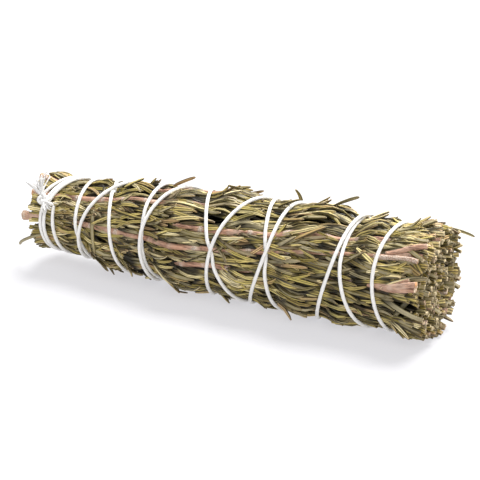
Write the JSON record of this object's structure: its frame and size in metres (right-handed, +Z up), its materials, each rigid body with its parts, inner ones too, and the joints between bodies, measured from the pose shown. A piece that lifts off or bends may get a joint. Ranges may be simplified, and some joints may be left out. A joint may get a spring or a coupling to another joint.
{
  "type": "dried rosemary bundle",
  "caption": "Dried rosemary sprigs bound along their length with criss-crossing white cotton string, tied at the stem end and cut square at the other.",
  "frame": {"origin": "centre of the bounding box's bottom face, on the surface that the bundle rests on", "axes": "+X along the bundle from the tied stem end to the square-cut end, +Z up, -Y towards the side that shows the knot"},
  "size_m": [0.156, 0.0405, 0.0395],
  "materials": {
    "dried_leaf": "matte",
    "stem_bark": "matte",
    "cotton_string": "matte"
  },
  "bodies": {
    "root": {"sprig_01_stem": "stem_bark", "sprig_01_leaves": "dried_leaf", "sprig_02_stem": "stem_bark", "sprig_02_leaves": "dried_leaf", "sprig_03_stem": "stem_bark", "sprig_03_leaves": "dried_leaf", "sprig_04_stem": "stem_bark", "sprig_04_leaves": "dried_leaf", "sprig_05_stem": "stem_bark", "sprig_05_leaves": "dried_leaf", "sprig_06_stem": "stem_bark", "sprig_06_leaves": "dried_leaf", "sprig_07_stem": "stem_bark", "sprig_07_leaves": "dried_leaf", "sprig_08_stem": "stem_bark", "sprig_08_leaves": "dried_leaf", "sprig_09_stem": "stem_bark", "sprig_09_leaves": "dried_leaf", "sprig_10_stem": "stem_bark", "sprig_10_leaves": "dried_leaf", "sprig_11_stem": "stem_bark", "sprig_11_leaves": "dried_leaf", "sprig_12_stem": "stem_bark", "sprig_12_leaves": "dried_leaf", "sprig_13_stem": "stem_bark", "sprig_13_leaves": "dried_leaf", "sprig_14_stem": "stem_bark", "sprig_14_leaves": "dried_leaf", "sprig_15_stem": "stem_bark", "sprig_15_leaves": "dried_leaf", "sprig_16_stem": "stem_bark", "sprig_16_leaves": "dried_leaf", "sprig_17_stem": "stem_bark", "sprig_17_leaves": "dried_leaf", "sprig_18_stem": "stem_bark", "sprig_18_leaves": "dried_leaf", "sprig_19_stem": "stem_bark", "sprig_19_leaves": "dried_leaf", "binding_string": "cotton_string", "binding_knot": "cotton_string", "string_tail_upper": "cotton_string", "string_tail_lower": "cotton_string"}
  },
  "joints": []
}
